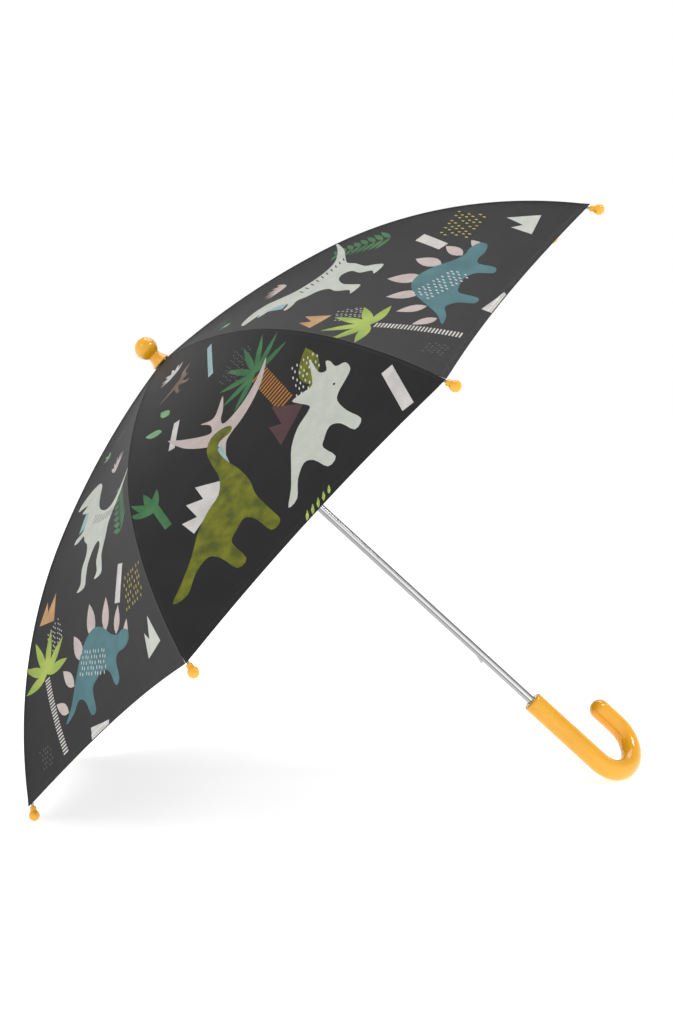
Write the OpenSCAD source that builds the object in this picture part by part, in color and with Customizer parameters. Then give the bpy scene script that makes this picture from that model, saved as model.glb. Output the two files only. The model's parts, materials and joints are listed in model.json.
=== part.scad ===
// Children's umbrella, open and lying on the floor on two rib tips and the bend of its handle.
// Every piece is drawn in the umbrella's own frame: the shaft runs along Z, the apex of the
// canopy is at the origin and +X points at the floor side. resting() then lays it down.

/* [Canopy] */
// Length of each steel inner rib along its curve, from the crown to the glass-fibre rod
inner_rib_len = 181.5; // [176:0.5:186]
// Length of each glass-fibre outer rib along its curve, to the centre of its tip
outer_rib_len = 250; // [244:0.5:256]
// Downward slope of a rib where it leaves the crown
crown_slope = 7.2; // [6:0.1:8.5]
// Downward slope of a rib where the inner and the outer rib meet
joint_slope = 20.3; // [19:0.1:22]
// Downward slope of a rib at its tip
tip_slope = 55; // [52:0.5:58]
// How much less the two ribs that stand on the floor slope at their tips
floor_flex = 4; // [0:0.5:6]
// How far the fabric sags inwards between two ribs, as a part of the distance from the shaft
panel_sag = 0.028; // [0.015:0.001:0.035]
// Distance from the centre of a rib tip back to the corner of the fabric
hem_corner = 8.3; // [8:0.1:11]
// How far the hem curves up between two rib tips
hem_rise = 13.3; // [8:0.1:18]
// Thickness of the canopy fabric with its coating
cloth_t = 0.5; // [0.4:0.05:0.6]

/* [Ribs and stretchers] */
// Width and depth of an inner rib's steel channel
rib_w = 3; // [2.9:0.05:3.1]
// Wall thickness of the steel channels
channel_wall = 0.5; // [0.45:0.05:0.6]
// Outer width of a stretcher, which straddles the rib and the clip of its glass-fibre rod
stretcher_w = 5.2; // [5.2:0.05:5.4]
// Diameter of the glass-fibre rod
rod_d = 2.6; // [2.4:0.1:2.8]
// Diameter of the ball on each rib tip
tip_ball_d = 9.6; // [9:0.1:10.5]
// Diameter of the neck behind each ball
tip_neck_d = 5.6; // [5:0.1:6]

/* [Shaft] */
// Outer diameter of the shaft tube
shaft_d = 8; // [7.8:0.1:8.2]
// Wall thickness of the shaft tube
shaft_wall = 0.6; // [0.5:0.05:0.7]
// Distance from the apex of the canopy to the top of the handle
shaft_len = 473; // [465:1:485]
// Distance from the apex down to the lower catch
catch_drop = 414; // [410:1:416]
// How far each catch stands out of the shaft
catch_out = 2.6; // [2:0.1:2.7]

/* [Crown and runner] */
// Outer diameter of the crown and of the runner's head
notch_d = 23; // [22.6:0.1:23.4]
// Diameter of the ring wire that threads the ribs or the stretchers
wire_d = 1; // [0.9:0.05:1.1]
// Outer diameter of the runner's sleeve
sleeve_d = 13.6; // [13.2:0.1:14]
// Distance from the runner's pivots down to its lower edge
sleeve_len = 56; // [54:0.5:57]

/* [Handle and finial] */
// Diameter of the handle
grip_d = 20; // [18:0.5:22]
// Length of the straight part of the handle
grip_len = 86.5; // [80:0.5:92]
// Radius of the hook, measured to the middle of the handle
hook_r = 29.5; // [28:0.5:32]
// Length of the short straight arm after the hook
hook_arm = 22; // [16:1:26]
// Direction in which the hook turns away from the shaft
hook_turn = 231; // [220:1:240]
// Diameter of the ball on the finial
finial_d = 21.6; // [20:0.1:22.5]
// Height of the centre of that ball above the apex
finial_h = 20.4; // [20:0.1:22]
// Diameter of the finial's foot
foot_d = 18.6; // [18:0.1:20]

/* [Tie strap] */
// Width of the strap that holds the rolled canopy
strap_w = 14; // [12:0.5:16]
// Length of that strap
strap_len = 150; // [140:1:160]
// Diameter of the snap button
snap_d = 10; // [9:0.5:11]

/* [Hidden] */

plastic = "orange";
steel = "silver";
fabric = "dimgray";

ribs = 8;
pitch = 360 / ribs;
half_pitch = pitch / 2;
shaft_r = shaft_d / 2;
bore_r = shaft_r - shaft_wall;
run_gap = 0.25;             // radial gap between the runner and the shaft
notch_r = notch_d / 2;
pivot_r = 8;                // distance of every crown and runner pivot from the shaft's axis
pivot_z = -6.5;             // height of the crown's pivots
hub_r = 5.9;                // bottom of the slots in the crown and the runner
slot_w = 2.4;
eye_t = 1.6;                // thickness of the flat eye at the end of a rib or a stretcher
eye_r = 1.8;
eye_hole_r = 0.8;
notch_depth = 4;            // how far the slotted part reaches past the pivots
plate_gap = 2.9;            // from the pivots to the closed side of the slots
plate_t = 1.5;
rivet_r = 0.65;
rivet_hole_r = 0.7;
rivet_head_r = 1.2;
rivet_head_t = 0.4;
rivet_play = 0.05;          // gap under each rivet head
rod_play = 0.15;            // gap around the rod in its clip and in its tip
ear_r = 1.6;
clip_w = 4;                 // width of the clip that holds the rod
clip_wall = 0.35;
rib_start = [15, -4.1];     // where the channel of an inner rib begins
rib_overrun = 2;            // how far the channel runs past its outer pivot
joint_setback = 9;          // from the outer pivot back to the stretcher's pivot
cloth_gap = 2.9;            // from the middle of a rib to the middle of the fabric
seam_gap = 0.15;            // half the gap between two panels
cloth_hole_r = 6;           // the fabric's hole at the apex
handle_depth = 42;          // how deep the shaft sits in the handle
finial_depth = 14;          // how far the shaft reaches into the finial
strap_gap = 0.4;            // gap between the strap and the panel under it
strap_t = 1;
strap_panel = 6;
strap_in = 3.5;             // from the seam to the edge of the strap beside it
strap_up = 11;              // from the corner of the fabric to the strap's free end
snap_up = 9;                // from that end to the middle of the button
snap_t = 2;
fine = 64;

function degrees_per_mm(r) = 180 / (PI * r);
function on_floor(k) = k == 1 || k == ribs;
function rib_angle(k) = half_pitch + pitch * (k - 1);
function end_slope(k) = tip_slope - (on_floor(k) ? floor_flex : 0);
inner_r = inner_rib_len * 180 / (PI * (joint_slope - crown_slope));
function outer_r(k) = outer_rib_len * 180 / (PI * (end_slope(k) - joint_slope));

// A point at distance d outside an arc that starts at p with slope a, where the slope has become b
function on_arc(p, r, a, b, d = 0) =
    p + [(r + d) * sin(b) - r * sin(a), (r + d) * cos(b) - r * cos(a)];
outer_pivot = on_arc(rib_start, inner_r, crown_slope, joint_slope);
stretch_slope = joint_slope - joint_setback * degrees_per_mm(inner_r);
stretch_pivot = on_arc(rib_start, inner_r, crown_slope, stretch_slope);
function tip_centre(k) = on_arc(outer_pivot, outer_r(k), joint_slope, end_slope(k));

// The slope of rib k at length s from the start of its channel, and the fabric's line above it
function slope_at(k, s) =
    s < 0 ? crown_slope
    : s < inner_rib_len ? crown_slope + s * degrees_per_mm(inner_r)
    : joint_slope + (s - inner_rib_len) * degrees_per_mm(outer_r(k));
function seam(k, s, d) =
    let (a = slope_at(k, s))
    s < 0 ? rib_start + [s * cos(a) + d * sin(a), d * cos(a) - s * sin(a)]
    : s < inner_rib_len ? on_arc(rib_start, inner_r, crown_slope, a, d)
    : on_arc(outer_pivot, outer_r(k), joint_slope, a, d);

// Crown pivot, stretcher pivot and runner pivot form an isosceles triangle
arm_run = stretch_pivot.x - pivot_r;
arm_drop = pivot_z - stretch_pivot.y;
arm = sqrt(arm_run * arm_run + arm_drop * arm_drop);
arm_slope = atan2(arm_drop, arm_run);
runner_z = pivot_z - 2 * arm_drop;

// The umbrella leans until its two floor tips and the bend of its handle are equally low
grip_r = grip_d / 2;
bend_z = -shaft_len - grip_len;
floor_tip = tip_centre(1);
function tip_reach(lean) =
    floor_tip.x * cos(half_pitch) * sin(lean) - floor_tip.y * cos(lean) + tip_ball_d / 2;
function bend_reach(u, v) = hook_r * (u + sqrt(u * u + v * v)) - bend_z * v + grip_r;
function handle_reach(lean) = bend_reach(cos(hook_turn) * sin(lean), cos(lean));
function level_lean(lo, hi, n) =
    let (mid = (lo + hi) / 2)
    n == 0 ? mid
    : tip_reach(mid) > handle_reach(mid) ? level_lean(lo, mid, n - 1)
    : level_lean(mid, hi, n - 1);
lean = level_lean(35, 60, 30);
front_reach = bend_reach(-cos(hook_turn) * cos(lean), sin(lean));
rib_line = [for (s = [0 : 1 : inner_rib_len + outer_rib_len - hem_corner])
    seam(1, s, cloth_gap + cloth_t / 2)];
back_reach = max([for (p = rib_line) p.x * cos(half_pitch) * cos(lean) + p.y * sin(lean)]);

module resting() {
    translate([(back_reach - front_reach) / 2, 0, tip_reach(lean)])
        rotate([0, -lean, 0]) rotate([0, 0, 180]) children();
}

// Puts its child at a point of rib k's plane, with X along the rib and Z away from the shaft
module at_rib(k, p, slope) {
    rotate([0, 0, rib_angle(k)]) translate([p.x, 0, p.y]) rotate([0, slope, 0]) children();
}

// Sweeps a flat profile along an arc of rib k: the profile's x points outwards
module bow(k, p, r, a, b) {
    rotate([0, 0, rib_angle(k)]) translate([p.x - r * sin(a), 0, p.y - r * cos(a)])
        rotate([90, 0, 0])
            rotate_extrude(angle = b - a, start = 90 - b, $fn = fine) translate([r, 0]) children();
}

module cross_pin(r, length) {
    rotate([90, 0, 0]) cylinder(r = r, h = length, center = true, $fn = 32);
}

// A loose rivet through the stretcher's two ears
module rivet() {
    grip = stretcher_w + 2 * rivet_play;
    cross_pin(rivet_r, grip);
    for (side = [-1, 1])
        translate([0, side * (grip + rivet_head_t) / 2, 0]) cross_pin(rivet_head_r, rivet_head_t);
}

// Two thin ears around a hinge, which leave the width of a rib free between them
module ears(length, width, ear_t) {
    for (side = [-1, 1])
        translate([0, side * (width - ear_t) / 2, 0]) difference() {
            union() {
                cross_pin(ear_r, ear_t);
                translate([0, -ear_t / 2, -ear_r]) cube([length, ear_t, 2 * ear_r]);
            }
            cross_pin(rivet_hole_r, 2 * ear_t);
        }
}

// The flat eye that hangs on a ring wire, with a bar that runs out to its channel
module eye(length) {
    bar_h = 2.6;
    difference() {
        union() {
            cross_pin(eye_r, eye_t);
            translate([0, -eye_t / 2, -bar_h / 2]) cube([length, eye_t, bar_h]);
        }
        cross_pin(eye_hole_r, 2 * eye_t);
    }
}

// A slotted ring with eight notches around a wire; its closed side is up and its pivots are at z = 0
module notched_ring(bore) {
    height = plate_gap + plate_t + notch_depth;
    difference() {
        translate([0, 0, -notch_depth]) cylinder(r = notch_r, h = height, $fn = fine);
        translate([0, 0, -notch_depth - 1]) cylinder(r = bore, h = height + 2, $fn = fine);
        for (k = [1 : ribs])
            rotate([0, 0, rib_angle(k)])
                translate([hub_r, -slot_w / 2, -notch_depth - 1])
                    cube([notch_r, slot_w, notch_depth + plate_gap + 1]);
        ring_wire(0.1);
    }
}

module ring_wire(extra = 0) {
    rotate_extrude($fn = fine) translate([pivot_r, 0]) circle(r = wire_d / 2 + extra, $fn = 24);
}

// Point of panel k: v runs from -1 at rib k to 1 at the next rib, s along the rib, d is outwards
function panel_point(k, s, v, d) =
    let (
        next = k % ribs + 1,
        a = seam(k, s, cloth_gap),
        b = seam(next, s, cloth_gap),
        w = v * (1 - seam_gap / (a.x * sin(half_pitch))),
        m = (1 + w) / 2,
        r = a.x * (1 - m) + b.x * m,
        z = a.y * (1 - m) + b.y * m,
        slope = slope_at(k, s) * (1 - m) + slope_at(next, s) * m,
        off = d - panel_sag * r * (1 - v * v),
        out = r * cos(half_pitch) + off * sin(slope),
        along = r * sin(half_pitch) * w,
        turn = rib_angle(k) + half_pitch
    )
    [out * cos(turn) - along * sin(turn), out * sin(turn) + along * cos(turn), z + off * cos(slope)];

cloth_from = cloth_hole_r - rib_start.x;
function hem_s(v) = inner_rib_len + outer_rib_len - hem_corner - hem_rise * (1 - v * v);

// Faces of a thin plate with nu by nv cells, whose upper points come before its lower ones
function plate_faces(nu, nv) =
    let (
        row = nv + 1,
        low = (nu + 1) * row,
        rim = concat(
            [for (j = [0 : nv]) j],
            [for (i = [1 : nu]) i * row + nv],
            [for (j = [1 : nv]) nu * row + nv - j],
            [for (i = [1 : nu - 1]) (nu - i) * row]
        ),
        n = len(rim)
    )
    concat(
        [for (i = [0 : nu - 1], j = [0 : nv - 1], half = [0, 1])
            let (q = i * row + j)
            half == 0 ? [q, q + 1, q + row] : [q + 1, q + row + 1, q + row]],
        [for (i = [0 : nu - 1], j = [0 : nv - 1], half = [0, 1])
            let (q = low + i * row + j)
            half == 0 ? [q, q + row, q + 1] : [q + 1, q + row, q + row + 1]],
        [for (i = [0 : n - 1], half = [0, 1])
            let (p = rim[i], q = rim[(i + 1) % n])
            half == 0 ? [p, p + low, q] : [q, p + low, q + low]]
    );

module panel(k) {
    nu = 14;
    nv = 8;
    points = [for (d = [cloth_t / 2, -cloth_t / 2], i = [0 : nu], j = [0 : nv])
        let (v = 2 * j / nv - 1, s = cloth_from + (hem_s(v) - cloth_from) * i / nu)
        panel_point(k, s, v, d)];
    color(fabric) resting() polyhedron(points, plate_faces(nu, nv));
}

module inner_rib(k) {
    side = rib_w / 2;
    inside = side - channel_wall;
    run_out = rib_overrun * degrees_per_mm(inner_r);
    color(steel) resting() {
        difference() {
            union() {
                bow(k, rib_start, inner_r, crown_slope, joint_slope + run_out)
                    difference() {
                        translate([-side, -side]) square(rib_w);
                        translate([-side - 1, -inside]) square([rib_w + 1 - channel_wall, 2 * inside]);
                    }
                bar = seam(k, 8, 0) - [pivot_r, pivot_z];
                at_rib(k, [pivot_r, pivot_z], -atan2(bar.y, bar.x)) eye(norm(bar));
            }
            at_rib(k, stretch_pivot, stretch_slope) cross_pin(rivet_hole_r, 2 * rib_w);
            at_rib(k, outer_pivot, joint_slope) cross_pin(rivet_hole_r, 2 * rib_w);
        }
    }
}

module outer_rib(k) {
    clip_from = 3.5;
    clip_len = 9;
    rod_from = joint_slope + (clip_from + 1) * degrees_per_mm(outer_r(k));
    rod_to = end_slope(k) - degrees_per_mm(outer_r(k));
    color(steel) resting() {
        bow(k, outer_pivot + on_arc([0, 0], outer_r(k), joint_slope, rod_from),
            outer_r(k), rod_from, rod_to)
            circle(d = rod_d, $fn = 24);
        at_rib(k, outer_pivot, joint_slope) {
            ears(clip_from + 1, clip_w, clip_wall);
            difference() {
                translate([clip_from, -clip_w / 2, -ear_r]) cube([clip_len, clip_w, 2 * ear_r]);
                translate([clip_from + 0.5, 0, 0]) rotate([0, 90, 0])
                    cylinder(r = rod_d / 2 + rod_play, h = clip_len, $fn = 24);
            }
            cross_pin(rivet_r, clip_w + 2 * rivet_play);
        }
    }
}

module stretcher(k) {
    channel_from = 7.5;
    ear_len = 14;
    inside = stretcher_w - 2 * channel_wall;
    length = arm - ear_len - channel_from;
    color(steel) resting() at_rib(k, [pivot_r, runner_z], -arm_slope) {
        eye(channel_from + 6);
        translate([channel_from, -stretcher_w / 2, -ear_r]) difference() {
            cube([length, stretcher_w, 2 * ear_r]);
            translate([-1, channel_wall, -channel_wall]) cube([length + 2, inside, 2 * ear_r]);
        }
        translate([arm, 0, 0]) {
            mirror([1, 0, 0]) ears(ear_len, stretcher_w, channel_wall);
            rivet();
        }
    }
}

module tip(k) {
    neck_len = 7.9;
    bore_len = neck_len - 0.5;
    color(plastic) resting() at_rib(k, tip_centre(k), end_slope(k)) difference() {
        union() {
            sphere(d = tip_ball_d, $fn = 48);
            translate([-neck_len, 0, 0]) rotate([0, 90, 0])
                cylinder(d = tip_neck_d, h = neck_len, $fn = 32);
        }
        translate([-neck_len - 1, 0, 0]) rotate([0, 90, 0])
            cylinder(r = rod_d / 2 + rod_play, h = bore_len + 1, $fn = 32);
    }
}

// A leaf inside the shaft with a wedge that stands out of it. up = 1 puts the stop face on top.
module catch_tongue(z, up) {
    leaf_in = 1.4;
    leaf_out = 2.2;
    leaf_w = 2.4;
    leaf_len = 24;
    wedge_len = 9;
    wedge_t = 1.2;
    nose = 1.2;
    out = shaft_r + catch_out;
    translate([0, 0, z]) {
        translate([leaf_in, -leaf_w / 2, -leaf_len / 2]) cube([leaf_out - leaf_in, leaf_w, leaf_len]);
        mirror([0, 0, up > 0 ? 0 : 1]) rotate([90, 0, 0])
            linear_extrude(wedge_t, center = true)
                polygon([[leaf_in, -wedge_len], [shaft_r, -wedge_len], [out, -nose], [out, 0], [leaf_in, 0]]);
    }
}

module catch_slot(z, up) {
    slot_len = 10;
    slot_gap = 0.4;
    translate([0, -1, z + (up > 0 ? slot_gap - slot_len : -slot_gap)]) cube([notch_r, 2, slot_len]);
}

top_catch_z = runner_z - sleeve_len - 0.5;

module shaft() {
    color(steel) resting() difference() {
        translate([0, 0, -shaft_len - handle_depth])
            cylinder(r = shaft_r, h = shaft_len + handle_depth + finial_depth, $fn = fine);
        translate([0, 0, -shaft_len - handle_depth - 1])
            cylinder(r = bore_r, h = shaft_len + handle_depth + finial_depth + 2, $fn = fine);
        catch_slot(top_catch_z, 1);
        catch_slot(-catch_drop, -1);
        translate([0, 0, stop_z]) cross_pin(stop_r, 2 * shaft_d);
    }
}

stop_r = 0.8;
stop_z = runner_z + notch_depth + stop_r + 0.7;

module stop_pin() {
    color(steel) resting() translate([0, 0, stop_z]) cross_pin(stop_r, shaft_d + 3);
}

module top_catch() {
    color(steel) resting() catch_tongue(top_catch_z, 1);
}

module bottom_catch() {
    color(steel) resting() catch_tongue(-catch_drop, -1);
}

module crown() {
    color(plastic) resting() translate([0, 0, pivot_z]) notched_ring(shaft_r);
}

module crown_wire() {
    color(steel) resting() translate([0, 0, pivot_z]) ring_wire();
}

module runner() {
    keyway_w = 2.2;
    keyway_r = 7;
    rim_h = 4;
    lower = sleeve_len - plate_gap;
    color(plastic) resting() translate([0, 0, runner_z]) difference() {
        union() {
            mirror([0, 0, 1]) notched_ring(shaft_r + run_gap);
            translate([0, 0, -sleeve_len]) difference() {
                union() {
                    cylinder(d = sleeve_d, h = lower, $fn = fine);
                    cylinder(d = sleeve_d + 3, h = rim_h, $fn = fine);
                }
                translate([0, 0, -1]) cylinder(r = shaft_r + run_gap, h = lower + 2, $fn = fine);
            }
        }
        translate([0, -keyway_w / 2, -sleeve_len - 1])
            cube([keyway_r, keyway_w, sleeve_len + notch_depth + 2]);
    }
}

module runner_wire() {
    color(steel) resting() translate([0, 0, runner_z]) ring_wire();
}

// Washers above and below the fabric at the apex
washer_low = 0.2;
washer_t = 0.8;

module apex_washer() {
    color("black") resting() translate([0, 0, washer_low]) difference() {
        cylinder(d = foot_d - 2, h = washer_t, $fn = fine);
        translate([0, 0, -1]) cylinder(r = shaft_r, h = washer_t + 2, $fn = fine);
    }
}

module inner_washer() {
    washer_r = 5.4;
    top = -0.1;
    low = pivot_z + plate_gap + plate_t;
    color("black") resting() translate([0, 0, low]) difference() {
        cylinder(r = washer_r, h = top - low, $fn = fine);
        translate([0, 0, -1]) cylinder(r = shaft_r, h = top - low + 2, $fn = fine);
    }
}

// The finial is a ball on a stem that flares out to a round foot
module finial() {
    foot_z = washer_low + washer_t;
    foot_edge = 1.2;
    stem_r = 6.1;
    stem_top = finial_h - finial_d / 2 + 1.5;
    flare = [for (i = [0 : 12])
        let (t = i / 12)
        [stem_r + (foot_d / 2 - stem_r) * pow(1 - t, 2.4), foot_z + foot_edge
            + (stem_top - foot_z - foot_edge) * t]];
    color(plastic) resting() difference() {
        rotate_extrude($fn = fine) {
            polygon(concat([[0, foot_z], [foot_d / 2, foot_z]], flare, [[0, stem_top]]));
            translate([0, finial_h]) intersection() {
                circle(d = finial_d, $fn = fine);
                translate([0, -finial_d]) square(2 * finial_d);
            }
        }
        translate([0, 0, -1]) cylinder(r = shaft_r, h = finial_depth + 1, $fn = fine);
    }
}

module handle() {
    rim = 1.2;
    color(plastic) resting() rotate([0, 0, hook_turn]) difference() {
        union() {
            translate([0, 0, bend_z]) cylinder(r = grip_r, h = grip_len - rim, $fn = fine);
            translate([0, 0, -shaft_len - rim])
                cylinder(r1 = grip_r, r2 = grip_r - rim, h = rim, $fn = fine);
            translate([hook_r, 0, bend_z]) rotate([90, 0, 0])
                rotate_extrude(angle = 180, start = 180, $fn = fine)
                    translate([hook_r, 0]) circle(r = grip_r, $fn = fine);
            translate([2 * hook_r, 0, bend_z]) cylinder(r = grip_r, h = hook_arm, $fn = fine);
            translate([2 * hook_r, 0, bend_z + hook_arm]) sphere(r = grip_r, $fn = fine);
        }
        translate([0, 0, -shaft_len - handle_depth])
            cylinder(r = shaft_r, h = handle_depth + 1, $fn = fine);
    }
}

// A point above the strap's panel: s along the rib, x across the panel from the seam beside the strap
strap_end = hem_s(1) - strap_up;
function strap_point(s, x, d) =
    let (v = x / (seam(strap_panel, s, cloth_gap).x * sin(half_pitch)) - 1)
    panel_point(strap_panel, s, v, strap_gap + cloth_t / 2 + d);

module tie_strap() {
    nu = 14;
    nv = 2;
    points = [for (d = [strap_t, 0], i = [0 : nu], j = [0 : nv])
        strap_point(strap_end - strap_len * (1 - i / nu), strap_in + strap_w * j / nv, d)];
    color(fabric) resting() polyhedron(points, plate_faces(nu, nv));
}

module snap_button() {
    s = strap_end - snap_up;
    x = strap_in + strap_w / 2;
    low = strap_point(s, x, strap_t + 0.15);
    way = cross(strap_point(s + 1, x, 0) - strap_point(s - 1, x, 0),
        strap_point(s, x + 1, 0) - strap_point(s, x - 1, 0));
    color(steel) resting() translate(low)
        rotate([0, acos(way.z / norm(way)), atan2(way.y, way.x)])
            cylinder(d1 = snap_d, d2 = snap_d - 2, h = snap_t, $fn = 48);
}

shaft();
handle();
finial();
apex_washer();
inner_washer();
crown();
crown_wire();
runner();
runner_wire();
stop_pin();
top_catch();
bottom_catch();
inner_rib(1);  // rib_1
inner_rib(2);  // rib_2
inner_rib(3);  // rib_3
inner_rib(4);  // rib_4
inner_rib(5);  // rib_5
inner_rib(6);  // rib_6
inner_rib(7);  // rib_7
inner_rib(8);  // rib_8
outer_rib(1);  // outer_rib_1
outer_rib(2);  // outer_rib_2
outer_rib(3);  // outer_rib_3
outer_rib(4);  // outer_rib_4
outer_rib(5);  // outer_rib_5
outer_rib(6);  // outer_rib_6
outer_rib(7);  // outer_rib_7
outer_rib(8);  // outer_rib_8
stretcher(1);  // stretcher_1
stretcher(2);  // stretcher_2
stretcher(3);  // stretcher_3
stretcher(4);  // stretcher_4
stretcher(5);  // stretcher_5
stretcher(6);  // stretcher_6
stretcher(7);  // stretcher_7
stretcher(8);  // stretcher_8
tip(1);  // tip_1
tip(2);  // tip_2
tip(3);  // tip_3
tip(4);  // tip_4
tip(5);  // tip_5
tip(6);  // tip_6
tip(7);  // tip_7
tip(8);  // tip_8
panel(1);  // canopy_gore_1
panel(2);  // canopy_gore_2
panel(3);  // canopy_gore_3
panel(4);  // canopy_gore_4
panel(5);  // canopy_gore_5
panel(6);  // canopy_gore_6
panel(7);  // canopy_gore_7
panel(8);  // canopy_gore_8
tie_strap();
snap_button();
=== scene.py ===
import json
import math

import bpy
from mathutils import Matrix, Vector
from mathutils.geometry import delaunay_2d_cdt


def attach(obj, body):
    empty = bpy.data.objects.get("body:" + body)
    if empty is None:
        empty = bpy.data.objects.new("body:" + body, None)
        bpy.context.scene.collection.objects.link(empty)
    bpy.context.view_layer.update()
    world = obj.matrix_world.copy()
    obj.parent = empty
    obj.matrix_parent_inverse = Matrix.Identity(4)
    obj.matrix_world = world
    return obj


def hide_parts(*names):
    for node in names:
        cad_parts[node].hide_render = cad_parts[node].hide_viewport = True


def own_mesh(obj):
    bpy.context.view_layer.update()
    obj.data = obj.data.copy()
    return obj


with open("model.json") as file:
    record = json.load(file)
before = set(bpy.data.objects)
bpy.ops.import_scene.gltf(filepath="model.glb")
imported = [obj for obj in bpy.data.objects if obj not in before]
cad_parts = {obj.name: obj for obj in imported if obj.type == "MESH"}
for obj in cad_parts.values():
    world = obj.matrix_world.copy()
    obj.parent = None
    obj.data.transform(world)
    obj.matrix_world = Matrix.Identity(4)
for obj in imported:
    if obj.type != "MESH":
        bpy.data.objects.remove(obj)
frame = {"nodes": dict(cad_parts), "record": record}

for started_with in ("Cube", "Light", "Camera"):
    if started_with in bpy.data.objects:
        bpy.data.objects.remove(bpy.data.objects[started_with])
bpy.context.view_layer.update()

# ---------------------------------------------------------------- the umbrella's own frame

RIBS = 8
PITCH = math.tau / RIBS
HALF_PITCH = PITCH / 2
CROWN_DROP = 0.0065         # from the apex of the canopy down to the crown's pivots
INNER_RIB = 0.1815          # lengths along the curve of each rib
OUTER_RIB = 0.250
RIB_START = (0.015, -0.0041)
CROWN_SLOPE = math.radians(7.2)
JOINT_SLOPE = math.radians(20.3)
TIP_SLOPE = math.radians(55)
FLOOR_FLEX = math.radians(4)
PANEL_SAG = 0.028
CLOTH_GAP = 0.0029          # from the middle of a rib to the fabric above it
CLOTH_T = 0.00035
CLOTH_HOLE = 0.006
HEM_CORNER = 0.0083
HEM_RISE = 0.0133

record = frame["record"]
joints = {j["name"]: j for j in record["behaviour"]["joints"]}


def fold_of(k):
    return "canopy_fold" if k == 1 else f"rib_fold_{k}"


pivots = [Vector(joints[fold_of(k)]["pos_m"]) for k in range(1, RIBS + 1)]
tangents = [Vector(joints[fold_of(k)]["axis"]) for k in range(1, RIBS + 1)]
crown_centre = sum(pivots, Vector()) / RIBS
shaft_up = (pivots[0] - crown_centre).cross(tangents[0]).normalized()
floor_side = (pivots[0] + pivots[7] - 2 * crown_centre).normalized()
across = shaft_up.cross(floor_side)
apex = crown_centre + shaft_up * CROWN_DROP


def place(x, y, z):
    """A point of the umbrella's own frame, whose Z runs along the shaft, in the row's frame."""
    return apex + floor_side * x + across * y + shaft_up * z


def aim(x, y, z):
    """A direction of the umbrella's own frame in the row's frame."""
    return floor_side * x + across * y + shaft_up * z


def rib_angle(k):
    return HALF_PITCH + PITCH * (k - 1)


# ---------------------------------------------------------------- the surface of the canopy

inner_r = INNER_RIB / (JOINT_SLOPE - CROWN_SLOPE)


def end_slope(k):
    return TIP_SLOPE - (FLOOR_FLEX if k in (1, RIBS) else 0)


def outer_r(k):
    return OUTER_RIB / (end_slope(k) - JOINT_SLOPE)


def on_arc(p, r, a, b, d=0.0):
    return (p[0] + (r + d) * math.sin(b) - r * math.sin(a),
            p[1] + (r + d) * math.cos(b) - r * math.cos(a))


outer_pivot = on_arc(RIB_START, inner_r, CROWN_SLOPE, JOINT_SLOPE)


def slope_at(k, s):
    if s < 0:
        return CROWN_SLOPE
    if s < INNER_RIB:
        return CROWN_SLOPE + s / inner_r
    return JOINT_SLOPE + (s - INNER_RIB) / outer_r(k)


def seam(k, s, d):
    """Distance from the shaft and height of the fabric's line above rib k, at length s along the rib."""
    a = slope_at(k, s)
    if s < 0:
        return (RIB_START[0] + s * math.cos(a) + d * math.sin(a),
                RIB_START[1] + d * math.cos(a) - s * math.sin(a))
    if s < INNER_RIB:
        return on_arc(RIB_START, inner_r, CROWN_SLOPE, a, d)
    return on_arc(outer_pivot, outer_r(k), JOINT_SLOPE, a, d)


def half_width(s):
    return seam(2, s, CLOTH_GAP)[0] * math.sin(HALF_PITCH)


def hem_s(v):
    return INNER_RIB + OUTER_RIB - HEM_CORNER - HEM_RISE * (1 - v * v)


def swell(x, width):
    """A smooth bump, 1 at x = 0 and 0 beyond the width."""
    t = min(1.0, abs(x) / width)
    return (1 - t * t) ** 2


SEAM_WIDTH = 0.0028
SEAM_RISE = 0.0006
HEM_WIDTH = 0.006
HEM_THICK = 0.0004


def panel_point(k, s, v, lift=0.0):
    """Point of panel k: v runs from -1 at rib k to 1 at the next rib, s along the rib."""
    follow = k % RIBS + 1
    a, b = seam(k, s, CLOTH_GAP), seam(follow, s, CLOTH_GAP)
    m = (1 + v) / 2
    r = a[0] * (1 - m) + b[0] * m
    z = a[1] * (1 - m) + b[1] * m
    slope = slope_at(k, s) * (1 - m) + slope_at(follow, s) * m
    edge = r * math.sin(HALF_PITCH) * (1 - abs(v))
    hem = hem_s(v) - s
    off = lift - PANEL_SAG * r * (1 - v * v) + SEAM_RISE * swell(edge, SEAM_WIDTH)
    off += HEM_THICK * min(1.0, max(0.0, (HEM_WIDTH - hem) / 0.0008))
    out = r * math.cos(HALF_PITCH) + off * math.sin(slope)
    along = r * math.sin(HALF_PITCH) * v
    turn = rib_angle(k) + HALF_PITCH
    return place(
        out * math.cos(turn) - along * math.sin(turn),
        out * math.sin(turn) + along * math.cos(turn),
        z + off * math.cos(slope),
    )


def panel_normal(k, s, v):
    ds, dv = 0.0004, 0.0015
    low, high = max(-1.0, v - dv), min(1.0, v + dv)
    down = panel_point(k, s + ds, v) - panel_point(k, s - ds, v)
    return down.cross(panel_point(k, s, high) - panel_point(k, s, low)).normalized()


# ---------------------------------------------------------------- materials


def new_material(name):
    """A material with its node tree, its shader and a helper that adds linked nodes."""
    material = bpy.data.materials.new(name)
    material.use_nodes = True
    tree = material.node_tree
    return material, tree, tree.nodes["Principled BSDF"]


def add_node(tree, kind, inputs=None, **settings):
    node = tree.nodes.new(kind)
    for key, value in settings.items():
        setattr(node, key, value)
    for key, value in (inputs or {}).items():
        if isinstance(value, bpy.types.NodeSocket):
            tree.links.new(value, node.inputs[key])
        else:
            node.inputs[key].default_value = value
    return node


def rgba(colour):
    return (*colour, 1.0)


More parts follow.
